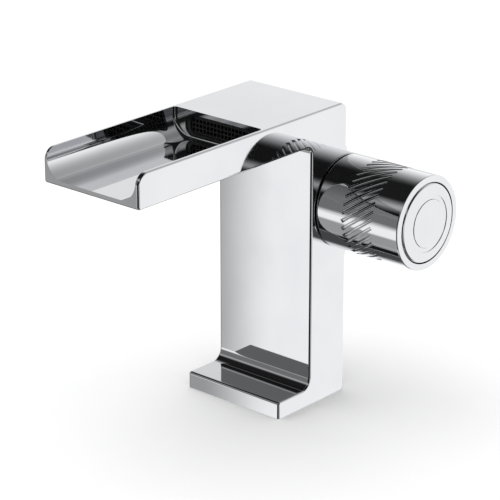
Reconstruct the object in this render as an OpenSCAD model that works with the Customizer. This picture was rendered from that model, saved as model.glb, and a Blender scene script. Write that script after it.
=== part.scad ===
// Waterfall basin faucet: a cast body with an open trough spout and a side knob with a push button.
// The origin is the middle of the base on the deck. The spout points to -Y, the knob to +X.

/* [Body casting] */
// Width of the body across its flat sides
body_width = 50; // [48:0.5:60]
// Height from the deck to the top of the spout
body_height = 126.4; // [122:0.2:160]
// Depth of the upright column
column_depth = 22; // [21:0.5:30]
// Depth of the base on the deck, from the toe to the rear
base_depth = 41.8; // [40:0.2:60]
// Thickness of the toe plate in front of the column
toe_height = 7.2; // [6:0.1:10]
// Hollow fillet between the toe plate and the column
toe_fillet = 5; // [3:0.1:9]
// Hollow fillet between the column and the spout's underside
neck_fillet = 3; // [1.5:0.1:6]
// Round of the rear edge at the top
crown_radius = 3.6; // [1:0.1:6]
// Round of the rear edge at the deck
heel_radius = 1.6; // [1:0.1:3]
// Small round along every outer edge
edge_radius = 1; // [0.3:0.05:1.2]

/* [Spout] */
// Length from the rear face to the spout's tip
spout_length = 122; // [115:0.5:150]
// Thickness of the spout from underside to top
spout_height = 14.1; // [13.6:0.1:20]
// Length of the open trough
trough_length = 71.8; // [60:0.2:76]
// Thickness of the trough's side walls
trough_wall = 1.7; // [1.4:0.1:3]
// Thickness of the trough's floor
trough_floor = 2.3; // [2:0.1:3]
// Radius between the trough's floor and its side walls
trough_corner = 8.5; // [4:0.1:9]
// Round of the side walls' front top corners
lip_radius = 4.8; // [1.5:0.1:6]
// Hollow fillet where the trough's floor and side walls meet its back wall
trough_end_fillet = 1.6; // [0.5:0.1:2]

/* [Outlet] */
// Width of the outlet pocket in the trough's back wall
pocket_width = 35.4; // [30:0.2:38]
// Height of the outlet pocket
pocket_height = 9.2; // [8.6:0.1:10]
// Corner radius of the outlet pocket
pocket_corner = 4; // [2:0.1:4.2]
// Depth of the outlet pocket
pocket_depth = 8; // [6:0.1:12]
// Height of the pocket's middle over the trough's floor
pocket_rise = 5.5; // [5.2:0.1:6]
// How far the frame's face lies behind the trough's back wall
frame_setback = 0.8; // [0.3:0.1:2]
// Width of the frame's border round the water opening
frame_border = 2.6; // [2:0.1:3]
// Ledge in the frame that carries the mesh
mesh_ledge = 0.6; // [0.4:0.1:1]
// Depth of the mesh behind the frame's face
mesh_setback = 0.6; // [0.3:0.1:2]
// Thickness of the mesh
mesh_thickness = 0.8; // [0.5:0.1:1.5]
// Distance from one mesh opening to the next
mesh_pitch = 1.9; // [1.6:0.1:2.6]
// Width of the bars between the mesh openings
mesh_bar = 0.5; // [0.3:0.1:0.8]
// Thickness of the gasket behind the frame
outlet_seal_thickness = 1; // [0.6:0.1:2]
// Width of the flat waterway behind the outlet
waterway_width = 38; // [34:0.5:40]
// Height of the flat waterway
waterway_height = 7; // [6:0.1:8]
// Corner radius of the flat waterway
waterway_corner = 3.3; // [1.5:0.1:3.4]

/* [Deck fixing] */
// Radius of the threaded hose sockets
socket_radius = 4.5; // [4:0.1:5]
// Depth of the hose sockets
socket_depth = 12; // [10:0.5:18]
// Distance between the two hose sockets
socket_spacing = 15; // [13:0.5:18]
// Distance of the hose sockets from the rear face
socket_inset = 9.4; // [8:0.1:10]
// Radius of the inlet bores above the sockets
inlet_radius = 2.6; // [2:0.1:2.8]
// Radius of the threaded hole for the fixing stud
stud_radius = 3.4; // [2.5:0.1:3.6]
// Depth of the stud hole
stud_depth = 14; // [10:0.5:20]
// Distance of the stud hole from the rear face
stud_inset = 16.3; // [15.8:0.1:17]
// Distance of the deck seal's groove from the base's edge
seal_inset = 1.8; // [1.5:0.1:2.2]
// Width of the deck seal
base_seal_width = 2.2; // [1.6:0.1:2.6]
// Height of the deck seal
base_seal_height = 1.6; // [1:0.1:2.5]

/* [Valve chamber] */
// Distance of the knob's axis below the top of the body
axis_drop = 42.2; // [38:0.2:46]
// Radius of the round boss at the rear, level with the knob
boss_radius = 19.7; // [19:0.1:21]
// Hollow fillet between the boss and the rear face
boss_fillet = 4; // [2:0.1:6]
// Radius of the bore that holds the cartridge
chamber_radius = 15; // [14.9:0.05:15.1]
// Depth of that bore from the side face
chamber_depth = 38; // [37.5:0.1:38.5]
// Radius of the outlet space behind the cartridge
sump_radius = 13; // [12:0.1:13.5]
// Depth of the outlet space
sump_depth = 7; // [6:0.1:8]
// Radius of the riser from the outlet space to the spout
riser_radius = 3.5; // [2.5:0.1:3.5]
// Distance of the riser from the rear face
riser_inset = 9.9; // [9:0.1:10.5]
// Radius of the collar that the knob runs on
collar_radius = 16.2; // [16.1:0.05:16.3]
// Length of the collar over the side face
collar_length = 3; // [2.5:0.1:3.5]

/* [Cartridge] */
// Radius of the neck that the ring nut goes round
neck_radius = 12; // [11:0.1:12.5]
// Length of the housing's wide part inside the chamber
housing_length = 35; // [34.5:0.1:35.4]
// Length of the housing's neck
neck_length = 9; // [8.6:0.1:9.4]
// Radius of the disc room
disc_room_radius = 11; // [10.5:0.1:11.4]
// Distance of the disc seat from the housing's inner end
disc_seat = 23; // [22.8:0.1:23.2]
// Length of the disc room
disc_room_length = 8.8; // [8.7:0.05:9.2]
// Radius of the mixed-water bore round the push rod
mixed_radius = 4; // [3.6:0.1:4.2]
// Radius of the two ports that lead to the discs
port_radius = 1.6; // [1.4:0.1:1.6]
// Distance of those ports from the axis
port_offset = 7.6; // [7.3:0.1:7.8]
// Depth of the grooves round the housing
groove_depth = 1.8; // [1.4:0.1:2]
// Width of the two inlet grooves
inlet_groove_width = 5.2; // [4:0.1:5.3]
// Width of the O-ring grooves
seal_groove_width = 2; // [1.9:0.05:2.2]
// Thickness of each ceramic disc
disc_thickness = 2.8; // [2.4:0.05:2.8]
// Angle that a kidney port spans
kidney_angle = 50; // [30:1:60]
// Width of a kidney port
kidney_width = 3; // [2:0.1:3.2]
// Cord radius of the small seals under the fixed disc
inlet_seal_cord = 0.55; // [0.4:0.05:0.6]
// Mean radius of the small seals under the fixed disc
inlet_seal_mean = 2.4; // [2.3:0.05:2.4]
// Length of the ring nut
nut_length = 8; // [6:0.1:8.5]
// Number of spanner notches in the ring nut
nut_notches = 6; // [4:1:8]
// Width of a spanner notch
notch_width = 3; // [2:0.1:4]
// Depth of a spanner notch
notch_depth = 1.6; // [1:0.1:1.9]

/* [Spindle] */
// Radius of the spindle
spindle_radius = 5.9; // [5.7:0.05:6]
// Radius of the spindle's flange in the disc room
flange_radius = 9; // [8:0.1:10]
// Thickness of that flange
flange_thickness = 2.85; // [2.6:0.05:2.9]
// Radius of the two driving pegs on the flange
peg_radius = 1.2; // [1:0.05:1.3]
// Length of the driving pegs
peg_length = 1.3; // [0.8:0.1:1.4]
// Distance of the driving pegs from the axis
peg_offset = 6.4; // [6.2:0.1:6.8]
// Distance across the four flats at the spindle's outer end
flats_width = 9.4; // [8.6:0.1:10]
// Length of the flats
flats_length = 10; // [8:0.1:10]
// Cord radius of the spindle's O-rings
spindle_cord = 0.5; // [0.4:0.05:0.6]
// Thickness of the snap ring
clip_thickness = 0.8; // [0.5:0.05:1]
// Outer radius of the snap ring
clip_radius = 8; // [7:0.1:9]
// Angle that the snap ring spans
clip_angle = 300; // [270:1:330]

/* [Knob] */
// Outer radius of the knob
knob_radius = 19.7; // [19.4:0.05:21]
// Length of the knob
knob_length = 41.2; // [41:0.1:46]
// Radius of the knob's bore
knob_bore = 16.9; // [16.85:0.05:17.2]
// Gap between the body's side face and the knob
knob_gap = 0.6; // [0.5:0.05:1]
// Round of the knob's outer edges
knob_edge = 0.5; // [0.2:0.05:1]
// Number of slanted grooves round the knob
groove_count = 36; // [24:1:36]
// Distance of the grooves' inner ends from the knob's inner end
groove_start = 13; // [12:0.1:16]
// Length of the groove band along the knob
groove_band = 15.1; // [10:0.1:16]
// Angle of the grooves to the knob's axis
groove_slant = 36; // [25:1:45]
// Width of a groove
groove_width = 1.6; // [1:0.05:1.8]
// Depth of a groove
groove_sink = 0.6; // [0.3:0.05:0.7]
// Thickness of the hub's web
web_thickness = 5; // [4.8:0.1:6]
// Radius of the hub's boss
hub_radius = 8.5; // [8.2:0.1:9.5]
// Length of the hub
hub_length = 12; // [11.8:0.1:12.6]
// Radius of the round windows in the web
window_radius = 2.4; // [1.5:0.1:2.8]
// Radius of the set screw
grub_radius = 1.9; // [1.5:0.1:2.2]
// Length of the set screw
grub_length = 7; // [5:0.1:7.5]
// Size of the set screw's hexagon socket, across its corners
grub_socket = 2.3; // [1.6:0.1:2.6]
// Thickness of the glide ring's flange
glide_flange = 0.5; // [0.3:0.05:0.5]
// Outer radius of the glide ring's flange
glide_radius = 18.6; // [18:0.1:19.2]

/* [Button] */
// Gap between the button and the knob's rim
button_gap = 0.3; // [0.25:0.05:0.5]
// How far the middle of the button stands out of the knob
button_proud = 1.5; // [1:0.1:3]
// Rise of the button's domed face from its edge to its middle
button_crown = 1.2; // [0.4:0.1:1.5]
// Travel of the button when pressed
button_travel = 2.2; // [1:0.1:2.2]
// Thickness of the button's face plate
plate_thickness = 3.8; // [3.6:0.1:5]
// Length of the skirt behind the face plate
skirt_length = 2.5; // [1:0.1:4]
// Thickness of the skirt
skirt_wall = 1.4; // [1:0.1:2]
// Radius of the boss that holds the push rod
rod_boss_radius = 4.5; // [4:0.1:5]
// Length of that boss
rod_boss_length = 6.7; // [6:0.1:7]
// Round of the button's outer edge
button_edge = 0.5; // [0.2:0.05:1]
// Outer radius of the ring groove in the face
ring_groove_radius = 11.9; // [11:0.1:13]
// Depth of the ring groove
ring_groove_depth = 0.3; // [0.15:0.05:0.6]
// Radius of the centre inlay
inlay_radius = 10; // [8:0.1:10.5]
// Thickness of the centre inlay
inlay_thickness = 2.1; // [1.4:0.1:2.1]
// Radius of the button screw's head
screw_head_radius = 2.8; // [2.2:0.1:3]
// Height of the button screw's head
screw_head_height = 1.5; // [1:0.1:1.6]
// Radius of the button screw's shank
screw_radius = 1.45; // [1.2:0.05:1.5]
// Length of the button screw's shank
screw_length = 7; // [5:0.1:8]

/* [Push rod and latch] */
// Radius of the push rod
rod_radius = 2.5; // [2.4:0.05:2.6]
// Cord radius of the push rod's O-rings
rod_cord = 0.37; // [0.3:0.01:0.4]
// Radius of the rod's stub in the poppet
stub_radius = 1.5; // [1.2:0.05:1.7]
// Radius of the shut-off poppet
poppet_radius = 7; // [6.5:0.1:8]
// Thickness of the shut-off poppet
poppet_thickness = 2.5; // [2:0.1:2.8]
// Thickness of the poppet's rubber washer
washer_thickness = 0.9; // [0.6:0.05:1.1]
// Outer radius of the latch barrel
barrel_radius = 5.5; // [5.3:0.05:5.7]
// Inner radius of the latch barrel
barrel_bore = 4.2; // [4.1:0.05:4.4]
// Radius of the latch barrel's foot
barrel_foot_radius = 6.5; // [6.2:0.1:6.7]
// Thickness of the latch barrel's foot
barrel_foot_thickness = 1; // [0.6:0.1:1.5]
// Number of guide slots in the latch barrel
slot_count = 6; // [4:1:6]
// Width of a guide slot
slot_width = 1.6; // [1:0.1:1.8]
// Length of a guide slot
slot_length = 5; // [3:0.1:6]
// Length of the latch cam
cam_length = 3.5; // [3:0.1:4]
// Distance of the latch cam from the barrel's foot
cam_place = 3.4; // [3.3:0.1:4.5]
// Depth of the notches in the cam's end
cam_notch = 1.2; // [0.6:0.1:1.5]

/* [Return spring] */
// Mean radius of the spring's curls
spring_radius = 7.6; // [7.4:0.05:7.7]
// Diameter of the spring's wire
spring_wire = 1; // [0.8:0.05:1.1]
// Number of curls
spring_curls = 8; // [6:1:9]

/* [Hidden] */
$fn = 96;

// How far every cutter runs past the face it opens
overrun = 1;
// Radial clearance of a shaft that turns or slides in its bore
running_fit = 0.05;
// Clearance between a fixed piece and its seat
seat_gap = 0.1;
// Film between the two ceramic discs, and between a seal and the wall it faces
film = 0.05;
// End play of a piece that a stop holds
end_play = 0.3;

// Places in the side view, where y runs to the rear and z runs up
axis_height = body_height - axis_drop;
half_width = body_width / 2;
rear_y = base_depth / 2;
toe_y = -rear_y;
front_y = rear_y - column_depth;
tip_y = rear_y - spout_length;
under_z = body_height - spout_height;
back_y = tip_y + trough_length;
floor_z = under_z + trough_floor;
outlet_z = floor_z + pocket_rise;
pocket_floor_y = back_y + pocket_depth;
socket_y = rear_y - socket_inset;
stud_y = rear_y - stud_inset;
riser_y = rear_y - riser_inset;

// Round of the spout's lower front corner and the toe's upper one, just wider than the side edges' round
nose_radius = edge_radius + seat_gap;

// Height of the boss fillet's centre over the axis, where it touches both the boss and the rear face
blend_rise = sqrt(pow(boss_radius + boss_fillet, 2) - pow(boss_fillet, 2));

// Places along the knob's axis
chamber_x = half_width - chamber_depth;
sump_x = chamber_x - sump_depth;
riser_x = chamber_x - riser_radius;
shoulder_x = chamber_x + housing_length;
neck_x = shoulder_x + neck_length;
seat_x = chamber_x + disc_seat;
turning_x = seat_x + disc_thickness + film;
flange_x = turning_x + disc_thickness;
spindle_x = flange_x + flange_thickness;
room_x = seat_x + disc_room_length;
clip_x = neck_x + end_play;
hub_x = clip_x + clip_thickness + clip_thickness + seat_gap;
spindle_end_x = hub_x + flats_length;
hub_end_x = hub_x + hub_length;
knob_x = half_width + knob_gap;
rim_x = knob_x + knob_length;
face_x = rim_x + button_proud;
plate_x = face_x - plate_thickness;
boss_x = plate_x - rod_boss_length;
barrel_length = boss_x - button_travel - end_play - hub_end_x;
rod_end_x = plate_x - screw_head_height;
inlay_x = face_x - inlay_thickness;
head_x = inlay_x - screw_head_height - seat_gap;
washer_x = chamber_x - film - washer_thickness;
poppet_x = washer_x - poppet_thickness;
screw_tip_x = head_x - screw_length;

// Radii that follow from a fit
housing_radius = chamber_radius - 2 * seat_gap;
groove_floor = housing_radius - groove_depth;
spindle_bore = spindle_radius + running_fit;
rod_bore = rod_radius + running_fit;
nut_radius = chamber_radius - film;
nut_bore = neck_radius + seat_gap;
glide_bore = collar_radius + film;
glide_bush = knob_bore - running_fit;
hub_web_radius = knob_bore - running_fit;
button_radius = knob_bore - button_gap;
cam_radius = barrel_bore - end_play;

// Radius of the button's domed face, and the place where that dome reaches the edge round
dome_radius = (pow(button_radius, 2) + pow(button_crown, 2)) / (2 * button_crown);
dome_edge_x = face_x - dome_radius + sqrt(pow(dome_radius, 2) - pow(button_radius - button_edge, 2));

// The outlet frame's border above and below the opening, as a share of its border at the ends
frame_lip_share = 0.5;

// Where the three housing seals sit along the axis, from the inner end outwards
housing_seal_places = [
    chamber_x + seal_groove_width,
    0,
    socket_spacing / 2 + inlet_groove_width / 2 + seal_groove_width
];
// Where the spindle's seals and the push rod's seals sit
spindle_seal_places = [room_x + spindle_radius / 2, room_x + spindle_radius];
rod_seal_places = [room_x + rod_radius, room_x + 3 * rod_radius];
spindle_gland = spindle_bore - 2 * (spindle_cord + film);
rod_gland = rod_bore - 2 * (rod_cord + film);
clip_bore = spindle_radius - clip_thickness;
grub_x = hub_x + web_thickness / 2;
grub_end = knob_radius - 3 * seat_gap;

// A helix on the knob bends like a circle of this radius in its own plane
groove_bend = knob_radius / pow(sin(groove_slant), 2);
groove_arc = groove_band / cos(groove_slant) / groove_bend * 180 / PI;
// Turn of the first groove, as a share of the step from one groove to the next
groove_phase_share = 0.57;
// Radius of the round cutter that leaves the stated width and depth
groove_cutter = (pow(groove_width / 2, 2) + pow(groove_sink, 2)) / (2 * groove_sink);

// The return spring, from its closed end on the hub to its closed end on the button
spring_rings = 8;
spring_sides = 6;
spring_length = plate_x - hub_end_x;
spring_steps = spring_curls * spring_rings;
spring_lean = 1.1 * spring_wire;
spring_open_rise = spring_length - spring_wire - 2 * spring_lean;

// Turns a shape drawn in the side view so that it stands upright and spans the width
module side_view() {
    rotate([90, 0, 90]) children();
}

// Turns a shape drawn from the front so that it runs forward from the given y
module front_view(from_y) {
    translate([0, from_y, 0]) rotate([90, 0, 0]) children();
}

// Puts a turned piece on the knob's axis, starting at the given x
module on_axis(from_x) {
    translate([from_x, rear_y, axis_height]) rotate([0, 90, 0]) children();
}

module rod(radius, length) {
    cylinder(r = radius, h = length);
}

module tube(radius, bore, length) {
    linear_extrude(length) difference() {
        circle(radius);
        circle(bore);
    }
}

module o_ring(mean, cord) {
    rotate_extrude() translate([mean, 0]) circle(cord, $fn = 32);
}

// A ring-shaped cutter for a groove round a shaft, centred on its place
module shaft_groove(floor, outside, width) {
    translate([0, 0, -width / 2]) tube(outside + overrun, floor, width);
}

module rounded_rectangle(width, height, corner) {
    square([width - 2 * corner, height], center = true);
    square([width, height - 2 * corner], center = true);
    for (x = [-1, 1], y = [-1, 1])
        translate([x * (width / 2 - corner), y * (height / 2 - corner)]) circle(corner);
}

// What a convex round takes off a corner whose tip is the origin and whose body lies at -x, -y
module corner_section(radius) {
    difference() {
        translate([-radius, -radius]) square(radius + overrun);
        translate([-radius, -radius]) circle(radius);
    }
}

// What a hollow fillet adds in a corner whose tip is the origin and whose body lies at +x, +y
module fillet_section(radius) {
    difference() {
        translate([-radius, -radius]) square(radius);
        translate([-radius, -radius]) circle(radius);
    }
}

// Side view of the casting
module body_profile() {
    difference() {
        union() {
            translate([front_y, 0]) square([column_depth, body_height]);
            translate([toe_y, 0]) square([base_depth, toe_height]);
            translate([tip_y, under_z]) square([spout_length, spout_height]);
            translate([front_y, toe_height]) mirror([0, 1]) fillet_section(toe_fillet);
            translate([front_y, under_z]) fillet_section(neck_fillet);
            translate([rear_y, axis_height]) circle(boss_radius);
            for (turn = [0, 1]) translate([rear_y, axis_height]) mirror([0, turn]) boss_blend();
        }
        translate([rear_y, body_height]) corner_section(crown_radius);
        translate([rear_y, 0]) mirror([0, 1]) corner_section(heel_radius);
        translate([tip_y, body_height]) mirror([1, 0]) corner_section(lip_radius);
        translate([tip_y, under_z]) mirror([1, 0]) mirror([0, 1]) corner_section(nose_radius);
        translate([toe_y, toe_height]) mirror([1, 0]) corner_section(nose_radius);
    }
}

// Hollow blend between the boss and the rear face, drawn above the axis
module boss_blend() {
    difference() {
        polygon([[0, 0], [boss_fillet, blend_rise], [0, blend_rise]]);
        translate([boss_fillet, blend_rise]) circle(boss_fillet);
    }
}

// What the small edge round takes off both sides, for an edge that runs along a line
module edge_line(from, to) {
    run = to - from;
    translate([from.x, from.y, 0]) rotate([0, 0, atan2(run.y, run.x)]) rotate([90, 0, 90])
        linear_extrude(norm(run)) both_sides() mirror([1, 0]) corner_section(edge_radius);
}

// The same for an edge that bends round a centre; hollow is true where the body lies outside the bend
module edge_bend(centre, radius, start, sweep, hollow = false) {
    translate([centre.x, centre.y, 0]) rotate([0, 0, start])
        rotate_extrude(angle = sweep) translate([radius, 0])
            both_sides() mirror([hollow ? 1 : 0, 0]) corner_section(edge_radius);
}

module both_sides() {
    translate([0, half_width]) children();
    mirror([0, 1]) translate([0, half_width]) children();
}

// The edge rounds, going round the side view from the heel over the top to the toe. The boss, whose end the
// knob covers, keeps crisp edges, and so do its two blends
module edge_rounds() {
    edge_bend([rear_y - heel_radius, heel_radius], heel_radius, -90, 90);
    edge_line([rear_y, heel_radius], [rear_y, axis_height - blend_rise]);
    edge_line([rear_y, axis_height + blend_rise], [rear_y, body_height - crown_radius]);
    edge_bend([rear_y - crown_radius, body_height - crown_radius], crown_radius, 0, 90);
    edge_line([rear_y - crown_radius, body_height], [tip_y + lip_radius, body_height]);
    edge_bend([tip_y + lip_radius, body_height - lip_radius], lip_radius, 90, 90);
    edge_line([tip_y, body_height - lip_radius], [tip_y, under_z + nose_radius]);
    edge_bend([tip_y + nose_radius, under_z + nose_radius], nose_radius, 180, 90);
    edge_line([tip_y + nose_radius, under_z], [front_y - neck_fillet, under_z]);
    edge_bend([front_y - neck_fillet, under_z - neck_fillet], neck_fillet, 0, 90, true);
    edge_line([front_y, under_z - neck_fillet], [front_y, toe_height + toe_fillet]);
    edge_bend([front_y - toe_fillet, toe_height + toe_fillet], toe_fillet, -90, 90, true);
    edge_line([front_y - toe_fillet, toe_height], [toe_y + nose_radius, toe_height]);
    edge_bend([toe_y + nose_radius, toe_height - nose_radius], nose_radius, 90, 90);
    edge_line([toe_y, toe_height - nose_radius], [toe_y, 0]);
}

// Front view of the open trough, drawn smaller all round by the given inset
module trough_section(inset) {
    inner = half_width - trough_wall;
    flat = inner - trough_corner;
    translate([-flat, floor_z + inset]) square([2 * flat, spout_height]);
    translate([inset - inner, floor_z + trough_corner]) square([2 * (inner - inset), spout_height]);
    for (side = [-1, 1])
        translate([side * flat, floor_z + trough_corner]) circle(trough_corner - inset);
}

// The open trough as a cutter. A quarter round follows its outline where it meets the back wall
module trough() {
    inner = half_width - trough_wall;
    flat = inner - trough_corner;
    round = trough_end_fillet;
    front_view(back_y - round) linear_extrude(trough_length - round + overrun) trough_section(0);
    front_view(back_y) linear_extrude(round + overrun) trough_section(round);
    translate([0, back_y - round, 0]) {
        translate([-flat, 0, floor_z + round]) rotate([0, 90, 0]) rod(round, 2 * flat);
        for (side = [-1, 1]) {
            translate([side * (inner - round), 0, floor_z + trough_corner]) rod(round, spout_height);
            translate([side * flat, 0, floor_z + trough_corner]) rotate([90, 0, 0])
                rotate([0, 0, side > 0 ? -90 : 180]) rotate_extrude(angle = 90)
                    translate([trough_corner - round, 0]) circle(round);
        }
    }
}

module body() {
    color("silver") difference() {
        union() {
            side_view() difference() {
                translate([0, 0, -half_width]) linear_extrude(body_width) body_profile();
                edge_rounds();
            }
            on_axis(half_width - overrun) rod(collar_radius, collar_length + overrun);
        }
        // Trough, outlet pocket and the flat waterway behind it
        trough();
        front_view(pocket_floor_y) translate([0, outlet_z, 0])
            linear_extrude(pocket_depth + trough_end_fillet + overrun)
                rounded_rectangle(pocket_width, pocket_height, pocket_corner);
        front_view(riser_y + riser_radius) translate([0, outlet_z, 0])
            linear_extrude(riser_y + riser_radius - pocket_floor_y + overrun)
                rounded_rectangle(waterway_width, waterway_height, waterway_corner);
        // Cartridge chamber, the outlet space behind it and the riser to the spout
        on_axis(chamber_x) rod(chamber_radius, chamber_depth + collar_length + overrun);
        on_axis(sump_x) rod(sump_radius, sump_depth + overrun);
        translate([riser_x, riser_y, axis_height]) rod(riser_radius, outlet_z - axis_height);
        // Hose sockets with their inlet bores, and the stud hole
        for (side = [-1, 1]) translate([side * socket_spacing / 2, socket_y, 0]) {
            translate([0, 0, -overrun]) rod(socket_radius, socket_depth + overrun);
            rod(inlet_radius, axis_height - groove_floor / 2);
        }
        translate([0, stud_y, -overrun]) rod(stud_radius, stud_depth + overrun);
        // Groove for the deck seal
        translate([0, 0, -overrun]) linear_extrude(base_seal_height + overrun)
            base_ring(seal_inset, base_seal_width);
    }
}

// Plan of a frame that follows the base's outline at the given inset
module base_ring(inset, width) {
    outer = [body_width - 2 * inset, base_depth - 2 * inset];
    corner = 2 * base_seal_width;
    difference() {
        rounded_rectangle(outer.x, outer.y, corner);
        rounded_rectangle(outer.x - 2 * width, outer.y - 2 * width, corner - width);
    }
}

module base_seal() {
    color("dimgray") linear_extrude(base_seal_height - film)
        base_ring(seal_inset + seat_gap, base_seal_width - 2 * seat_gap);
}

// A frame in the outlet pocket, drawn from the front
module pocket_ring(border) {
    difference() {
        rounded_rectangle(
            pocket_width - 2 * seat_gap, pocket_height - 2 * seat_gap, pocket_corner - seat_gap
        );
        pocket_opening(border);
    }
}

module pocket_opening(border) {
    rounded_rectangle(
        pocket_width - 2 * border, pocket_height - 2 * frame_lip_share * border,
        pocket_corner - frame_lip_share * border
    );
}

module outlet_frame() {
    length = pocket_depth - outlet_seal_thickness - frame_setback;
    color("black") front_view(pocket_floor_y - outlet_seal_thickness) translate([0, outlet_z, 0])
        difference() {
            linear_extrude(length) pocket_ring(frame_border);
            translate([0, 0, length - mesh_setback - mesh_thickness - film])
                linear_extrude(length) pocket_opening(frame_border - mesh_ledge);
        }
}

module outlet_mesh() {
    width = pocket_width - 2 * (frame_border - mesh_ledge + seat_gap);
    edge = frame_lip_share * (frame_border - mesh_ledge) + seat_gap;
    height = pocket_height - 2 * edge;
    columns = floor((width - mesh_bar) / mesh_pitch);
    rows = floor((height - mesh_bar) / mesh_pitch);
    hole = mesh_pitch - mesh_bar;
    color("black") front_view(back_y + frame_setback + mesh_setback + mesh_thickness)
        translate([0, outlet_z, 0]) linear_extrude(mesh_thickness) difference() {
            rounded_rectangle(width, height, pocket_corner - edge);
            for (column = [1 : columns], row = [1 : rows])
                translate([column - (columns + 1) / 2, row - (rows + 1) / 2] * mesh_pitch)
                    square(hole, center = true);
        }
}

module outlet_seal() {
    color("dimgray") front_view(pocket_floor_y) translate([0, outlet_z, 0])
        linear_extrude(outlet_seal_thickness) pocket_ring(frame_border - mesh_ledge);
}

module cartridge_housing() {
    color("white") difference() {
        union() {
            on_axis(chamber_x) rod(housing_radius, housing_length);
            on_axis(chamber_x) rod(neck_radius, housing_length + neck_length);
        }
        on_axis(seat_x) rod(disc_room_radius, disc_room_length);
        on_axis(chamber_x - overrun) rod(mixed_radius, disc_seat + 2 * overrun);
        on_axis(room_x - overrun) rod(spindle_bore, neck_x - room_x + 2 * overrun);
        for (side = [-1, 1]) {
            on_axis(side * socket_spacing / 2) shaft_groove(groove_floor, housing_radius, inlet_groove_width);
            housing_port(side);
        }
        for (place = housing_seal_places)
            on_axis(place) shaft_groove(groove_floor, housing_radius, seal_groove_width);
    }
}

// A port from an inlet groove to the disc seat, hot at side -1 and cold at side 1, with its seal's pocket
module housing_port(side) {
    branch_radius = port_radius + 2 * seat_gap;
    shift = side > 0 ? inlet_groove_width / 2 - branch_radius - seat_gap : 0;
    start_x = side * socket_spacing / 2 - shift;
    on_axis(start_x) translate([0, side * port_offset, 0]) rod(port_radius, seat_x - start_x + overrun);
    on_axis(start_x) rotate([-90 * side, 0, 0]) translate([0, 0, port_offset - branch_radius])
        rod(branch_radius, housing_radius - port_offset + branch_radius);
    on_axis(seat_x - 2 * inlet_seal_cord - film) translate([0, side * port_offset, 0])
        rod(inlet_seal_mean + inlet_seal_cord + film, 2 * inlet_seal_cord + film + overrun);
}

module housing_seals() {
    cord = (chamber_radius - groove_floor) / 2 - film;
    color("black") for (place = housing_seal_places)
        on_axis(place) o_ring(groove_floor + film + cord, cord);
}

module inlet_seals() {
    color("black") for (side = [-1, 1])
        on_axis(seat_x - inlet_seal_cord - film / 2) translate([0, side * port_offset, 0])
            o_ring(inlet_seal_mean, inlet_seal_cord);
}

// A kidney-shaped cutter round the disc's axis
module kidney(angle, width, length) {
    translate([0, 0, -overrun]) rotate([0, 0, -angle / 2]) rotate_extrude(angle = angle)
        translate([port_offset - width / 2, 0]) square([width, length + overrun]);
}

module fixed_disc() {
    color("ivory") on_axis(seat_x) difference() {
        rod(disc_room_radius - seat_gap, disc_thickness);
        translate([0, 0, -overrun]) rod(mixed_radius, disc_thickness + 2 * overrun);
        for (side = [-1, 1]) rotate([0, 0, 90 * side])
            kidney(kidney_angle, kidney_width, disc_thickness + overrun);
    }
}

module turning_disc() {
    color("ivory") on_axis(turning_x) difference() {
        rod(disc_room_radius - end_play, disc_thickness);
        translate([0, 0, -overrun]) rod(mixed_radius, disc_thickness + 2 * overrun);
        // Mixing recess over both ports, open to the centre
        kidney(180 + kidney_angle, kidney_width, disc_thickness / 2 - overrun);
        translate([0, -mixed_radius / 2, -overrun])
            cube([port_offset, mixed_radius, disc_thickness / 2 + overrun]);
        // Holes for the spindle's pegs
        for (side = [-1, 1]) translate([0, side * peg_offset, disc_thickness - peg_length - film])
            rod(peg_radius + film, peg_length + film + overrun);
    }
}

module spindle() {
    color("goldenrod") difference() {
        union() {
            on_axis(flange_x) rod(flange_radius, flange_thickness);
            on_axis(flange_x) rod(spindle_radius, hub_x - flange_x);
            on_axis(hub_x - overrun) linear_extrude(flats_length + overrun) flats_section(0);
            for (side = [-1, 1]) on_axis(flange_x - peg_length) translate([0, side * peg_offset, 0])
                rod(peg_radius, peg_length + overrun);
        }
        on_axis(flange_x - overrun) rod(rod_bore, spindle_end_x - flange_x + 2 * overrun);
        for (place = spindle_seal_places)
            on_axis(place) shaft_groove(spindle_gland, spindle_radius, 2 * (spindle_cord + film));
        on_axis(clip_x + clip_thickness / 2)
            shaft_groove(clip_bore - film, spindle_radius, clip_thickness + seat_gap);
    }
}

// Section of the spindle's outer end: round with four flats
module flats_section(gap) {
    intersection() {
        circle(spindle_radius + gap);
        square(flats_width + 2 * gap, center = true);
    }
}

module spindle_seals() {
    color("black") for (place = spindle_seal_places)
        on_axis(place) o_ring(spindle_bore - spindle_cord - film, spindle_cord);
}

module spindle_clip() {
    color("gray") on_axis(clip_x) rotate_extrude(angle = clip_angle)
        translate([clip_bore, 0]) square([clip_radius - clip_bore, clip_thickness]);
}

module cartridge_nut() {
    color("goldenrod") on_axis(shoulder_x) difference() {
        tube(nut_radius, nut_bore, nut_length);
        for (notch = [1 : nut_notches]) rotate([0, 0, notch * 360 / nut_notches])
            translate([0, -notch_width / 2, nut_length - notch_depth])
                cube([nut_radius + overrun, notch_width, notch_depth + overrun]);
    }
}

module glide_ring() {
    color("black") on_axis(half_width) {
        tube(glide_radius, glide_bore, glide_flange);
        tube(glide_bush, glide_bore, collar_length);
    }
}

// Half section of the knob's wall, with rounded outer edges
module sleeve_section() {
    difference() {
        translate([knob_bore, 0]) square([knob_radius - knob_bore, knob_length]);
        translate([knob_radius, knob_length]) corner_section(knob_edge);
        translate([knob_radius, 0]) mirror([0, 1]) corner_section(knob_edge);
    }
}

module groove() {
    translate([knob_radius - groove_bend, 0, groove_start + groove_band / 2])
        rotate([90 + groove_slant, 0, 0]) rotate([0, 0, -groove_arc / 2]) rotate_extrude(angle = groove_arc)
            translate([groove_bend + groove_cutter - groove_sink, 0]) circle(groove_cutter, $fn = 32);
}

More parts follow.
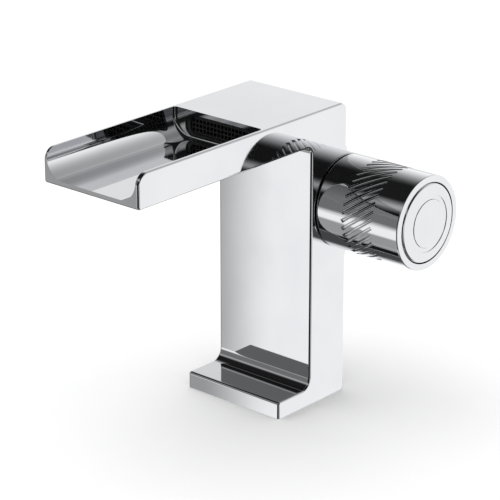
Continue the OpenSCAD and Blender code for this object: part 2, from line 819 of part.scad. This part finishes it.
module knob_sleeve() {
    color("silver") on_axis(knob_x) difference() {
        rotate_extrude() sleeve_section();
        for (turn = [1 : groove_count])
            rotate([0, 0, (turn + groove_phase_share) * 360 / groove_count]) groove();
        translate([0, 0, grub_x - knob_x]) rotate([0, 90, 0])
            rod(grub_radius + seat_gap, knob_radius + overrun);
    }
}

module knob_hub() {
    color("gray") difference() {
        union() {
            on_axis(hub_x) rod(hub_web_radius, web_thickness);
            on_axis(hub_x) rod(hub_radius, hub_length);
        }
        on_axis(hub_x - overrun) linear_extrude(flats_length + seat_gap + overrun) flats_section(seat_gap);
        on_axis(hub_x) rod(rod_bore + seat_gap, hub_length + overrun);
        for (turn = [0 : 3]) on_axis(hub_x - overrun) rotate([0, 0, 45 + 90 * turn])
            translate([(hub_radius + hub_web_radius) / 2, 0, 0])
                rod(window_radius, web_thickness + 2 * overrun);
        on_axis(grub_x) rotate([0, 90, 0]) translate([0, 0, grub_end - grub_length - seat_gap])
            rod(grub_radius + film, knob_radius);
    }
}

module hub_grub_screw() {
    color("dimgray") on_axis(grub_x) rotate([0, 90, 0]) translate([0, 0, grub_end - grub_length])
        difference() {
            rod(grub_radius, grub_length);
            translate([0, 0, grub_length - grub_socket])
                cylinder(d = grub_socket, h = grub_socket + overrun, $fn = 6);
        }
}

module latch_barrel() {
    color("white") on_axis(hub_end_x) difference() {
        union() {
            tube(barrel_radius, barrel_bore, barrel_length);
            tube(barrel_foot_radius, barrel_bore, barrel_foot_thickness);
        }
        for (slot = [1 : slot_count]) rotate([0, 0, slot * 360 / slot_count])
            translate([0, -slot_width / 2, barrel_length - slot_length])
                cube([barrel_radius + overrun, slot_width, slot_length + overrun]);
    }
}

module latch_cam() {
    color("white") on_axis(hub_end_x + cam_place) difference() {
        tube(cam_radius, rod_radius + film, cam_length);
        for (slot = [1 : slot_count]) rotate([0, 0, slot * 360 / slot_count])
            translate([0, -slot_width / 2, cam_length - cam_notch])
                cube([cam_radius + overrun, slot_width, cam_notch + overrun]);
    }
}

function spring_height(turn) =
    turn < 1 ? turn * spring_lean :
    turn > spring_curls - 1 ? spring_length - spring_wire - (spring_curls - turn) * spring_lean :
    spring_lean + spring_open_rise * (turn - 1) / (spring_curls - 2);
function spring_point(step) = let (turn = step / spring_rings) [
    spring_radius * cos(360 * turn), spring_radius * sin(360 * turn), spring_wire / 2 + spring_height(turn)
];
function spring_ring(step) = let (angle = 360 * step / spring_rings, middle = spring_point(step)) [
    for (side = [0 : spring_sides - 1]) let (lean = 360 * side / spring_sides) middle + spring_wire / 2 * [
        cos(lean) * cos(angle), cos(lean) * sin(angle), sin(lean)
    ]
];

module return_spring() {
    points = [for (step = [0 : spring_steps]) each spring_ring(step)];
    end = spring_steps * spring_sides;
    first = [for (side = [1 : spring_sides - 2]) [0, side, side + 1]];
    last = [for (side = [1 : spring_sides - 2]) [end, end + side + 1, end + side]];
    sides = [for (step = [0 : spring_steps - 1], side = [0 : spring_sides - 1]) let (
        a = step * spring_sides + side,
        b = step * spring_sides + (side + 1) % spring_sides,
        c = b + spring_sides,
        d = a + spring_sides
    ) each [[a, c, b], [a, d, c]]];
    color("gray") on_axis(hub_end_x) polyhedron(points, concat(first, sides, last));
}

// Half section of a round plate whose face follows the button's dome, at the given height in its middle
module domed_section(radius, height) {
    intersection() {
        square([radius, height]);
        translate([0, height - dome_radius]) circle(dome_radius, $fn = 720);
    }
}

module button_disc() {
    color("silver") difference() {
        union() {
            on_axis(plate_x) rotate_extrude() difference() {
                domed_section(button_radius, plate_thickness);
                translate([button_radius, dome_edge_x - plate_x]) corner_section(button_edge);
            }
            on_axis(plate_x - skirt_length)
                tube(button_radius, button_radius - skirt_wall, skirt_length + overrun);
            on_axis(boss_x) rod(rod_boss_radius, rod_boss_length + overrun);
        }
        on_axis(inlay_x) rod(inlay_radius + seat_gap, inlay_thickness + overrun);
        on_axis(plate_x) rotate_extrude() difference() {
            square([ring_groove_radius, plate_thickness + overrun]);
            domed_section(button_radius, plate_thickness - ring_groove_depth);
        }
        on_axis(head_x) rod(screw_head_radius + seat_gap, inlay_x - head_x + overrun);
        on_axis(boss_x - overrun) rod(rod_radius + film, rod_end_x - boss_x + overrun);
        on_axis(boss_x) rod(screw_radius + seat_gap, head_x - boss_x + overrun);
    }
}

module button_inlay() {
    color("silver") on_axis(inlay_x) rotate_extrude() domed_section(inlay_radius, inlay_thickness);
}

module button_screw() {
    color("gray") difference() {
        union() {
            on_axis(head_x) rod(screw_head_radius, screw_head_height);
            on_axis(screw_tip_x) rod(screw_radius, screw_length + screw_head_height);
        }
        on_axis(head_x + screw_head_height / 2) cylinder(r = screw_radius, h = screw_head_height, $fn = 6);
    }
}

module push_rod() {
    color("gainsboro") difference() {
        union() {
            on_axis(washer_x) rod(rod_radius, rod_end_x - washer_x);
            on_axis(poppet_x) rod(stub_radius, poppet_thickness + overrun);
        }
        for (place = rod_seal_places)
            on_axis(place) shaft_groove(rod_gland, rod_radius, 2 * (rod_cord + film));
        on_axis(screw_tip_x - seat_gap) rod(screw_radius + film, rod_end_x - screw_tip_x + overrun);
    }
}

module rod_seals() {
    color("black") for (place = rod_seal_places)
        on_axis(place) o_ring(rod_bore - rod_cord - film / 2, rod_cord);
}

module poppet() {
    color("goldenrod") on_axis(poppet_x) tube(poppet_radius, stub_radius + film, poppet_thickness);
}

module poppet_seal() {
    color("black") on_axis(washer_x)
        tube(poppet_radius - washer_thickness / 2, rod_radius + film, washer_thickness);
}

body();
base_seal();
outlet_frame();
outlet_mesh();
outlet_seal();
cartridge_housing();
housing_seals();
inlet_seals();
fixed_disc();
cartridge_nut();
glide_ring();
knob_sleeve();
knob_hub();
hub_grub_screw();
spindle();
spindle_seals();
spindle_clip();
turning_disc();
latch_barrel();
return_spring();
button_disc();
button_inlay();
button_screw();
push_rod();
rod_seals();
latch_cam();
poppet();
poppet_seal();
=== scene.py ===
# %% [markdown]
# # A waterfall basin faucet in polished chrome
# The real object is one cast body with an open trough, a knob with slanted grooves on its side and a push
# button in the knob's end. Chrome has no colour of its own: what we see in it is the room. So this lesson
# first sets the camera, then dresses the pieces, and spends most of its care on the surfaces and on what
# they reflect.

import math

import bmesh
import bpy
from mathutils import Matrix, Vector


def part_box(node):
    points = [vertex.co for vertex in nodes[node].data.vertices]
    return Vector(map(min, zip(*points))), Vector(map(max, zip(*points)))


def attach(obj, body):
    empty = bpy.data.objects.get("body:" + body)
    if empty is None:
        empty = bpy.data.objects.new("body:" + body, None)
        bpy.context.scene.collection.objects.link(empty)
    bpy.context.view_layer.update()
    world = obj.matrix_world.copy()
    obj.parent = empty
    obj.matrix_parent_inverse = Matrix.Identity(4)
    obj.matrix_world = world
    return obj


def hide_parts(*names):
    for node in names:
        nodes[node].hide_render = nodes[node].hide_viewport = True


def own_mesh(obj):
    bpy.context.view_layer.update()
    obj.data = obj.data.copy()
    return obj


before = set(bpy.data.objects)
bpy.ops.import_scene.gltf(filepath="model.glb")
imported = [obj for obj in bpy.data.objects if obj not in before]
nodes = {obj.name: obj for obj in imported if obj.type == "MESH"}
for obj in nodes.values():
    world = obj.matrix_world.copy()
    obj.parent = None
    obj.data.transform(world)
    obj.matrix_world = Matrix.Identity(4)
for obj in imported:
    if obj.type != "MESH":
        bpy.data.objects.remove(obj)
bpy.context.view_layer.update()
MM = 0.001
for name in sorted(nodes):
    low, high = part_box(name)
    spans = [round((b - a) / MM, 1) for a, b in zip(low, high)]
    print(name, spans, "mm,", len(nodes[name].data.polygons), "faces")

# %% [markdown]
# ## The camera
# The photograph was taken with a long lens from the front right, a little above the spout. Its place was
# solved from the tap's straight edges and the knob's circles.

# %% Camera
AZIMUTH = math.radians(41.20)
ELEVATION = math.radians(20.74)
CAMERA_PLACE = Vector((608.9, -705.7, 415.0)) * MM
FOCAL_PIXELS = 2413.0
FRAME_PIXELS = 500.0
SENSOR = 36.0
CLIP_NEAR, CLIP_FAR = 0.05, 20.0

camera_data = bpy.data.cameras.new("camera")
camera_data.sensor_width = SENSOR
camera_data.sensor_fit = "HORIZONTAL"
camera_data.lens = FOCAL_PIXELS / FRAME_PIXELS * SENSOR
camera_data.clip_start = CLIP_NEAR
camera_data.clip_end = CLIP_FAR
camera = bpy.data.objects.new("camera", camera_data)
bpy.context.scene.collection.objects.link(camera)
camera.location = CAMERA_PLACE
camera.rotation_euler = (math.pi / 2 - ELEVATION, 0.0, AZIMUTH)
bpy.context.scene.camera = camera
bpy.context.scene.view_settings.view_transform = "Standard"
print("lens", round(camera_data.lens, 1), "mm")

# %% [markdown]
# ## Shader maths
# A finish is easier to read as a sum than as a web of links. This small class wraps a socket, so that
# `1 - mask` or `noise * 0.3` adds the Math node by itself. Colours go through Mix, because a Math node
# would turn them grey.

# %% A socket that can be calculated with
class Value:
    """A shader socket. Sums and products on it add Math nodes."""

    def __init__(self, tree, socket):
        self.tree, self.socket = tree, socket

    def math(self, operation, *others, swap=False):
        inputs = (others[0], self, *others[1:]) if swap else (self, *others)
        return node(self.tree, "ShaderNodeMath", dict(operation=operation), dict(enumerate(inputs)))

    def __add__(self, other):
        return self.math("ADD", other)

    def __mul__(self, other):
        return self.math("MULTIPLY", other)

    def __sub__(self, other):
        return self.math("SUBTRACT", other)

    def __rsub__(self, other):
        return self.math("SUBTRACT", other, swap=True)

    def __truediv__(self, other):
        return self.math("DIVIDE", other)

    __radd__ = __add__
    __rmul__ = __mul__

    def between(self, low, high):
        """Rises smoothly from 0 at low to 1 at high."""
        inputs = {"Value": self, "From Min": low, "From Max": high}
        return node(self.tree, "ShaderNodeMapRange", dict(interpolation_type="SMOOTHSTEP"), inputs)


def node(tree, kind, settings=None, inputs=None, output=0):
    """Adds any node: its settings first, then its sockets, as numbers or links."""
    made = tree.nodes.new(kind)
    for key, value in (settings or {}).items():
        setattr(made, key, value)
    for key, value in (inputs or {}).items():
        socket = made.inputs[key]
        if isinstance(value, Value):
            tree.links.new(value.socket, socket)
        elif socket.type == "RGBA" and len(value) == 3:
            socket.default_value = (*value, 1.0)
        else:
            socket.default_value = value
    return Value(tree, made.outputs[output])


def mix(tree, factor, first, second):
    """Mixes two colours."""
    inputs = {"Factor": factor, 6: first, 7: second}
    return node(tree, "ShaderNodeMix", dict(data_type="RGBA"), inputs, output=2)


def finish(name, **fixed):
    """A material with a Principled shader; fixed values go on the shader's own sockets."""
    material = bpy.data.materials.new(name)
    material.use_nodes = True
    tree = material.node_tree
    shader = tree.nodes["Principled BSDF"]
    for key, value in fixed.items():
        shader.inputs[key.title()].default_value = value
    place = node(tree, "ShaderNodeTexCoord", output=3)
    return material, tree, shader, place


def plug(tree, value, shader, socket):
    tree.links.new(value.socket, shader.inputs[socket])


def noise(tree, place, scale, detail, roughness=0.5):
    inputs = {"Vector": place, "Scale": scale, "Detail": detail, "Roughness": roughness}
    return node(tree, "ShaderNodeTexNoise", None, inputs)


def bump(tree, height, depth):
    """Depth is in metres, the real height of the relief."""
    return node(tree, "ShaderNodeBump", None, {"Strength": 1.0, "Distance": depth, "Height": height})


# %% [markdown]
# ## Polished chrome
# The tap is cast brass, ground and buffed, then nickel and chrome plated. Three things tell real chrome
# from a mirror: a very slight waviness that the buffing wheel leaves, hair-fine polishing marks that only
# show in the highlights, and the faint haze of dried water and fingers. Their relief stays far below a
# millimetre. The spout's underside is taken as a rougher satin ground, which the wheel hardly reaches, and
# gets painted shade: its colour is much darker there.

# %% Chrome for the body, the knob and the button
AXIS_Y, AXIS_Z = (sum(corner[part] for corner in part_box("knob_sleeve")) / 2 for part in (1, 2))
print("knob axis at y", round(AXIS_Y / MM, 2), "z", round(AXIS_Z / MM, 2))

CHROME_TONE = 0.70
BUTTON_TONE = CHROME_TONE * 0.99
# The third tint is painted shade: a much darker colour for the spout's underside.
CLEAR_TINT, HAZED_TINT, UNDERSIDE_SHADE_TINT = (0.99, 0.997, 1.015), (0.95, 0.962, 0.99), (0.42, 0.43, 0.44)
UPRIGHT_GRAIN, KNOB_GRAIN, FACE_GRAIN = (1.0, 1.0, 0.06), (0.08, 1.0, 1.0), (1.0, 0.3, 0.3)
BODY_HAZE, KNOB_HAZE, BUTTON_HAZE = 0.03, 0.02, 0.04
# Cells of noise per metre
CLOUD_SCALE, MARKS_SCALE, RIPPLE_SCALE = 38.0, 900.0, 26.0
MIRROR_ROUGHNESS, MARKS_ROUGHNESS = 0.018, 0.02
RIPPLE_DEPTH, MARKS_DEPTH_SHARE = 0.02 * MM, 0.012

# The satin ground and its painted shade lie between these heights and in front of the spout's root
SPOUT_BOTTOM, SPOUT_ROOT = 112.4 * MM, -4.0 * MM
UNDERSIDE_FADE, UNDERSIDE_ROOT_FADE = 0.3 * MM, 1.5 * MM
UNDERSIDE_LOW, UNDERSIDE_FULL = 90.0 * MM, 100.0 * MM
SATIN_ROUGHNESS, SATIN_UNEVEN = 0.34, 0.1


def tinted(tone, tint):
    return tuple(tone * part for part in tint)


def from_axis(tree, place):
    """The distance from the knob's axis."""
    centred = node(tree, "ShaderNodeMapping", None, {"Vector": place, "Location": (0.0, -AXIS_Y, -AXIS_Z)})
    flat = node(tree, "ShaderNodeVectorMath", dict(operation="MULTIPLY"), {0: centred, 1: (0.0, 1.0, 1.0)})
    return node(tree, "ShaderNodeVectorMath", dict(operation="LENGTH"), {0: flat}, output=1)


def under_spout(tree, place):
    """1 on the spout's underside, 0 elsewhere."""
    across, height = (
        node(tree, "ShaderNodeSeparateXYZ", None, {"Vector": place}, output=part) for part in (1, 2)
    )
    below = 1 - height.between(SPOUT_BOTTOM, SPOUT_BOTTOM + UNDERSIDE_FADE)
    above = height.between(UNDERSIDE_LOW, UNDERSIDE_FULL)
    return below * above * (1 - across.between(SPOUT_ROOT - UNDERSIDE_ROOT_FADE, SPOUT_ROOT))


def polished_chrome(name, tone, haze, grain_axis, satin_and_shade_below=False):
    material, tree, shader, place = finish(name, metallic=1.0)
    cloud = noise(tree, place, CLOUD_SCALE, detail=3.0)
    haze_mask = cloud.between(0.45, 0.75)
    stretched = node(tree, "ShaderNodeMapping", None, {"Vector": place, "Scale": grain_axis})
    marks = noise(tree, stretched, MARKS_SCALE, detail=4.0, roughness=0.65)
    colour = mix(tree, cloud.between(0.3, 0.7), tinted(tone, CLEAR_TINT), tinted(tone, HAZED_TINT))
    roughness = MIRROR_ROUGHNESS + haze_mask * haze + marks * MARKS_ROUGHNESS
    # Painted shade: the underside gets a darker colour, as well as a rougher satin ground.
    if satin_and_shade_below:
        satin_and_shade = under_spout(tree, place)
        colour = mix(tree, satin_and_shade, colour, tinted(tone, UNDERSIDE_SHADE_TINT))
        roughness = roughness + satin_and_shade * (SATIN_ROUGHNESS + cloud * SATIN_UNEVEN)
    plug(tree, colour, shader, "Base Color")
    plug(tree, roughness, shader, "Roughness")
    ripple = noise(tree, place, RIPPLE_SCALE, detail=1.0)
    plug(tree, bump(tree, ripple + marks * MARKS_DEPTH_SHARE, RIPPLE_DEPTH), shader, "Normal")
    return material


chrome_body = polished_chrome("chrome_cast_body", CHROME_TONE, BODY_HAZE, UPRIGHT_GRAIN, satin_and_shade_below=True)
chrome_knob = polished_chrome("chrome_turned_knob", CHROME_TONE, KNOB_HAZE, KNOB_GRAIN)
chrome_button = polished_chrome("chrome_button_face", BUTTON_TONE, BUTTON_HAZE, FACE_GRAIN)

# %% [markdown]
# ## The dark and hidden finishes
# The outlet's mesh and frame are black moulded plastic, the seals are rubber, the valve's discs are ground
# ceramic, and the inner metal is turned brass and steel. Most of it is hidden, but each piece still gets
# the finish it has on a bench when the tap is taken apart.

# %% Plastic, rubber and ceramic
PLASTIC_CLOUD, PLASTIC_GRAIN = 120.0, 2600.0
PLASTIC_UNEVEN, PLASTIC_RELIEF = 0.12, 0.02 * MM
RUBBER_CLOUD, RUBBER_DUST = 300.0, 1800.0
RUBBER_ROUGHNESS, RUBBER_UNEVEN, RUBBER_RELIEF = 0.62, 0.2, 0.03 * MM


def moulded_plastic(name, dark, light, rough):
    material, tree, shader, place = finish(name)
    cloud = noise(tree, place, PLASTIC_CLOUD, detail=3.0)
    grain = noise(tree, place, PLASTIC_GRAIN, detail=2.0)
    plug(tree, mix(tree, cloud, dark, light), shader, "Base Color")
    plug(tree, rough + cloud * PLASTIC_UNEVEN, shader, "Roughness")
    plug(tree, bump(tree, grain, PLASTIC_RELIEF), shader, "Normal")
    return material


def soft_rubber(name, dark, light):
    material, tree, shader, place = finish(name)
    cloud = noise(tree, place, RUBBER_CLOUD, detail=4.0)
    dust = noise(tree, place, RUBBER_DUST, detail=2.0).between(0.6, 0.8)
    plug(tree, mix(tree, cloud * 0.7 + dust * 0.3, dark, light), shader, "Base Color")
    plug(tree, RUBBER_ROUGHNESS + cloud * RUBBER_UNEVEN, shader, "Roughness")
    plug(tree, bump(tree, cloud, RUBBER_RELIEF), shader, "Normal")
    return material


black_mesh = moulded_plastic("black_outlet_mesh", (0.004, 0.004, 0.004), (0.012, 0.012, 0.013), 0.28)
black_frame = moulded_plastic("black_outlet_frame", (0.004, 0.004, 0.005), (0.014, 0.014, 0.015), 0.22)
black_glide = moulded_plastic("black_glide_ring", (0.006, 0.006, 0.006), (0.018, 0.018, 0.019), 0.4)
white_housing = moulded_plastic("white_valve_housing", (0.70, 0.69, 0.65), (0.80, 0.79, 0.75), 0.3)
ceramic = moulded_plastic("ground_ceramic", (0.86, 0.83, 0.76), (0.92, 0.90, 0.85), 0.08)
black_seal = soft_rubber("black_o_ring_rubber", (0.010, 0.010, 0.010), (0.035, 0.035, 0.034))
grey_seal = soft_rubber("grey_gasket_rubber", (0.035, 0.035, 0.036), (0.085, 0.085, 0.083))

# %% [markdown]
# Turned metal shows fine rings round its axis. Apart from one small screw, everything turned on this tap
# lies on the knob's axis, so the rings come from the distance to that axis and from the place along it.

# %% Turned brass and steel
RING_SCALE, TARNISH_SCALE = 5000.0, 150.0
RING_UNEVEN, TARNISH_UNEVEN, RING_RELIEF = 0.12, 0.08, 0.01 * MM


def turned_metal(name, dark, light, rough):
    material, tree, shader, place = finish(name, metallic=1.0)
    along = node(tree, "ShaderNodeSeparateXYZ", None, {"Vector": place}, output=0)
    where = {"W": along + from_axis(tree, place), "Scale": RING_SCALE, "Detail": 3.0}
    rings = node(tree, "ShaderNodeTexNoise", dict(noise_dimensions="1D"), where)
    tarnish = noise(tree, place, TARNISH_SCALE, detail=4.0)
    plug(tree, mix(tree, tarnish, light, dark), shader, "Base Color")
    plug(tree, rough + rings * RING_UNEVEN + tarnish * TARNISH_UNEVEN, shader, "Roughness")
    plug(tree, bump(tree, rings, RING_RELIEF), shader, "Normal")
    return material


turned_brass = turned_metal("turned_brass", (0.60, 0.42, 0.17), (0.78, 0.60, 0.30), 0.16)
turned_steel = turned_metal("turned_steel", (0.42, 0.43, 0.45), (0.60, 0.61, 0.63), 0.18)
hub_alloy = turned_metal("nickelled_hub", (0.46, 0.45, 0.42), (0.62, 0.60, 0.56), 0.30)
spring_wire = turned_metal("spring_wire", (0.30, 0.31, 0.33), (0.52, 0.53, 0.55), 0.24)

# %% [markdown]
# ## Dressing the CAD nodes
# The valve's inner pieces need only their finish. Apart from the return spring, they keep their exact
# solids. Each node's own slots are filled, and nothing is moved.

# %% Finish of every node
node_finish = {
    "body": chrome_body, "knob_sleeve": chrome_knob,
    "button_disc": chrome_button, "button_inlay": chrome_button,
    "outlet_mesh": black_mesh, "outlet_frame": black_frame, "glide_ring": black_glide,
    "base_seal": grey_seal, "outlet_seal": grey_seal,
    "housing_seals": black_seal, "inlet_seals": black_seal, "spindle_seals": black_seal,
    "rod_seals": black_seal, "poppet_seal": black_seal,
    "cartridge_housing": white_housing, "latch_barrel": white_housing, "latch_cam": white_housing,
    "fixed_disc": ceramic, "turning_disc": ceramic,
    "cartridge_nut": turned_brass, "spindle": turned_brass, "poppet": turned_brass,
    "knob_hub": hub_alloy, "hub_grub_screw": turned_steel,
    "button_screw": turned_steel, "push_rod": turned_steel,
    "spindle_clip": spring_wire, "return_spring": spring_wire,
}
for name, material in node_finish.items():
    mesh = nodes[name].data
    mesh.materials.clear()
    mesh.materials.append(material)
print("nodes without a finish:", sorted(set(nodes) - set(node_finish)))

# %% [markdown]
# ## Smooth skins
# Chrome shows every facet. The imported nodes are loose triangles, so each visible chrome piece gets a skin:
# a copy whose doubles are merged, shaded smooth except at real corners, with normals that follow the large
# faces. The skin stands in for its node and keeps its shape. Only the button gets more: the photo shows a
# broad dark line round it and fine rings in its face, which are buffed, rounded edges.

# %% Skins for the chrome pieces
BUTTON_RADIUS = 16.6 * MM
RIM_ROUND, RIM_TOP = 0.5 * MM, 67.17 * MM
WIDE_ROUND, WIDE_TOP = 1.4 * MM, 67.29 * MM
FACE_CIRCLES = (11.9 * MM, 10.0 * MM)
# The circles lie at least this far in front of the rim, and their points this close to the radius
FACE_RISE, CIRCLE_SLACK = 0.3 * MM, 0.02 * MM
RIM_SLACK = 0.01 * MM
EDGE_BREAK, EDGE_STEPS = 0.2 * MM, 2
MERGE_DISTANCE = 0.001 * MM
FACE_WEIGHT = 100
# Corners sharper than this many degrees stay crisp
CHROME_CREASE, SPRING_CREASE = 32, 60


def deselect_all():
    bpy.ops.object.select_all(action="DESELECT")


def button_edges(skin):
    """Rounds the button's rim wider and breaks the edges of the ring groove and the inlay."""
    shape = bmesh.new()
    shape.from_mesh(skin.data)
    for point in shape.verts:
        out = math.hypot(point.co.y - AXIS_Y, point.co.z - AXIS_Z)
        above = point.co.x - (RIM_TOP - RIM_ROUND)
        if out < BUTTON_RADIUS - RIM_ROUND - RIM_SLACK or above < -RIM_SLACK:
            continue
        turn = math.atan2(out - (BUTTON_RADIUS - RIM_ROUND), above)
        new_out = BUTTON_RADIUS - WIDE_ROUND + WIDE_ROUND * math.sin(turn)
        point.co.x = WIDE_TOP - WIDE_ROUND + WIDE_ROUND * math.cos(turn)
        point.co.y = AXIS_Y + (point.co.y - AXIS_Y) * new_out / out
        point.co.z = AXIS_Z + (point.co.z - AXIS_Z) * new_out / out
    for edge in shape.edges:
        outs = [math.hypot(end.co.y - AXIS_Y, end.co.z - AXIS_Z) for end in edge.verts]
        front = min(end.co.x for end in edge.verts) > RIM_TOP + FACE_RISE
        on_circle = any(max(abs(out - circle) for out in outs) < CIRCLE_SLACK for circle in FACE_CIRCLES)
        edge.select_set(front and on_circle)
    shape.to_mesh(skin.data)
    shape.free()
    bpy.ops.object.mode_set(mode="EDIT")
    bpy.ops.mesh.bevel(offset=EDGE_BREAK, segments=EDGE_STEPS, affect="EDGES")
    bpy.ops.object.mode_set(mode="OBJECT")


def smooth_skin(name, node_name, body, crease=CHROME_CREASE, shape_edges=None):
    """A merged, smoothly shaded copy that stands in for a node and wears its finish."""
    skin = bpy.data.objects.new(name, nodes[node_name].data.copy())
    bpy.context.scene.collection.objects.link(skin)
    deselect_all()
    skin.select_set(True)
    bpy.context.view_layer.objects.active = skin
    if skin.data.has_custom_normals:
        bpy.ops.mesh.customdata_custom_splitnormals_clear()
    bpy.ops.object.mode_set(mode="EDIT")
    bpy.ops.mesh.select_all(action="SELECT")
    bpy.ops.mesh.remove_doubles(threshold=MERGE_DISTANCE)
    bpy.ops.mesh.normals_make_consistent(inside=False)
    bpy.ops.mesh.select_mode(type="EDGE")
    bpy.ops.mesh.select_all(action="DESELECT")
    bpy.ops.object.mode_set(mode="OBJECT")
    if shape_edges:
        shape_edges(skin)
    bpy.ops.object.shade_smooth_by_angle(angle=math.radians(crease))
    weighted = skin.modifiers.new("face_normals", "WEIGHTED_NORMAL")
    weighted.keep_sharp = True
    weighted.weight = FACE_WEIGHT
    bpy.ops.object.modifier_apply(modifier=weighted.name)
    skin.data.materials.clear()
    skin.data.materials.append(node_finish[node_name])
    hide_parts(node_name)
    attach(skin, body)
    print(name, len(skin.data.polygons), "faces")
    return skin


smooth_skin("cast_body_skin", "body", "fixed")
smooth_skin("knob_sleeve_skin", "knob_sleeve", "knob")
smooth_skin("button_disc_skin", "button_disc", "button", shape_edges=button_edges)
smooth_skin("button_inlay_skin", "button_inlay", "button", shape_edges=button_edges)

# %% [markdown]
# ## The return spring
# The CAD's spring is drawn at rest. On the real tap its curls move closer together when the button is
# pressed in. Here a smooth copy of it stands in, with a mesh of its own.

# %% The spring's smooth copy
spring_skin = smooth_skin(
    "return_spring_curls", "return_spring", "knob", crease=SPRING_CREASE
)
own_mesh(spring_skin)

# %% [markdown]
# ## The room
# Chrome needs a room. This one is a light tent, as for a catalogue photograph: white walls low down, a dark
# roof, and a few broad cards. Each has one plain strength, as on a set. The camera and the
# matt surfaces see plain white.

# %% The tent's walls and roof
WHITE, PALE, GREY, DIM, DARK, DEEP, BLACK = 0.85, 0.60, 0.30, 0.15, 0.08, 0.04, 0.01
FULL_TURN = 360.0
DEGREES = FULL_TURN / (2 * math.pi)

world = bpy.data.worlds.new("light_tent")
bpy.context.scene.world = world
world.use_nodes = True
world_tree = world.node_tree
for old in list(world_tree.nodes):
    world_tree.nodes.remove(old)


def light(strength):
    return (strength,) * 3


def window(value, low, high, soft):
    """1 between low and high, falling to 0 over the soft borders."""
    return value.between(low - soft, low) * (1 - value.between(high, high + soft))


direction = node(world_tree, "ShaderNodeTexCoord", output=0)
dx, dy, dz = (
    node(world_tree, "ShaderNodeSeparateXYZ", None, {0: direction}, output=part) for part in range(3)
)
# The azimuth is 0 at the front and grows to the right. Round the X axis, 0 is the back horizon, 90 is
# straight up and 180 the front horizon
azimuth = dx.math("ARCTAN2", dy * -1.0) * DEGREES
elevation = dz.math("ARCSINE") * DEGREES
round_x = (dz.math("ARCTAN2", dy) / (2 * math.pi)).math("ADD", 1.0).math("FRACT") * FULL_TURN

roof = round_x.between(5.0, 80.0) * (1 - round_x.between(120.0, 160.0))
tent = mix(world_tree, roof, light(WHITE), light(BLACK))
front_wall = window(round_x, low=150.0, high=185.0, soft=15.0)
tent = mix(world_tree, front_wall, tent, light(DIM))
under = window(round_x, low=255.0, high=285.0, soft=20.0)
tent = mix(world_tree, under, tent, light(DARK))

# %% [markdown]
# A grey card stands at the front left, a black one round the camera and a dark one at the left. A pale card
# behind the left side keeps that side from washing out. Each is given in degrees: its sides, its lower and
# upper edge, and after each pair the width of the soft border.

# %% Cards
def card(behind, sides, heights, strength):
    """Stands one card in front of what is there already."""
    shape = window(azimuth, *sides) * window(elevation, *heights)
    return mix(world_tree, shape, behind, light(strength))


tent = card(tent, sides=(-70.0, -42.5, 2.0), heights=(-45.0, -5.0, 8.0), strength=GREY)
tent = card(tent, sides=(-25.0, 60.0, 8.0), heights=(-50.0, 20.0, 6.0), strength=BLACK)
tent = card(tent, sides=(-125.0, -75.0, 8.0), heights=(-35.0, -10.0, 5.0), strength=DEEP)
tent = card(tent, sides=(-165.0, -110.0, 8.0), heights=(-25.0, 0.0, 6.0), strength=PALE)

# %% [markdown]
# This chrome mirrors about seven tenths of the light. Mirrored rays see the tent brighter by just that
# much, so that its shades are the ones seen after one reflection.

# %% World output
ROOM_LIGHT, BACKDROP_LIGHT = 1.02, 1.0
TENT_LIGHT = 1.0 / CHROME_TONE
camera_ray = node(world_tree, "ShaderNodeLightPath", output=0)
glossy_ray = node(world_tree, "ShaderNodeLightPath", output=3)
plain = mix(world_tree, camera_ray, light(ROOM_LIGHT), light(BACKDROP_LIGHT))
shade = mix(world_tree, glossy_ray, plain, tent)
brightness = 1.0 + (TENT_LIGHT - 1.0) * glossy_ray
background = node(world_tree, "ShaderNodeBackground", None, {"Color": shade, "Strength": brightness})
world_out = world_tree.nodes.new("ShaderNodeOutputWorld")
world_tree.links.new(background.socket, world_out.inputs["Surface"])

# %% [markdown]
# ## The floor and the lamp
# The tap stands on a plain white sheet. One wide, soft lamp hangs high up at the front left and gives it a
# quiet shadow. Neither of the two shows in the chrome.

# %% Floor and lamp
FLOOR_SIZE = 6.0
PAPER_SCALE = 60.0
PAPER_LOW, PAPER_HIGH = 0.965, 0.985
LAMP_PLACE = Vector((-0.35, -0.25, 1.1))
LAMP_AIM = Vector((0.0, 0.0, 0.05))
LAMP_SIZE, LAMP_ENERGY = 0.9, 2.1

deselect_all()
bpy.ops.mesh.primitive_plane_add(size=FLOOR_SIZE, location=(0.0, 0.0, 0.0))
floor = bpy.context.object
floor.name = "floor"
floor_material, floor_tree, floor_shader, floor_place = finish("white_sheet", roughness=0.9)
paper = noise(floor_tree, floor_place, PAPER_SCALE, detail=3.0)
plug(floor_tree, mix(floor_tree, paper, light(PAPER_LOW), light(PAPER_HIGH)), floor_shader, "Base Color")
floor_shader.inputs["Specular IOR Level"].default_value = 0.0
floor.data.materials.append(floor_material)
floor.visible_glossy = False

lamp_data = bpy.data.lights.new("soft_lamp", "AREA")
lamp_data.shape = "DISK"
lamp_data.size = LAMP_SIZE
lamp_data.energy = LAMP_ENERGY
lamp = bpy.data.objects.new("soft_lamp", lamp_data)
bpy.context.scene.collection.objects.link(lamp)
lamp.location = LAMP_PLACE
lamp.rotation_euler = (LAMP_AIM - LAMP_PLACE).to_track_quat("-Z", "Y").to_euler()
lamp.visible_glossy = False
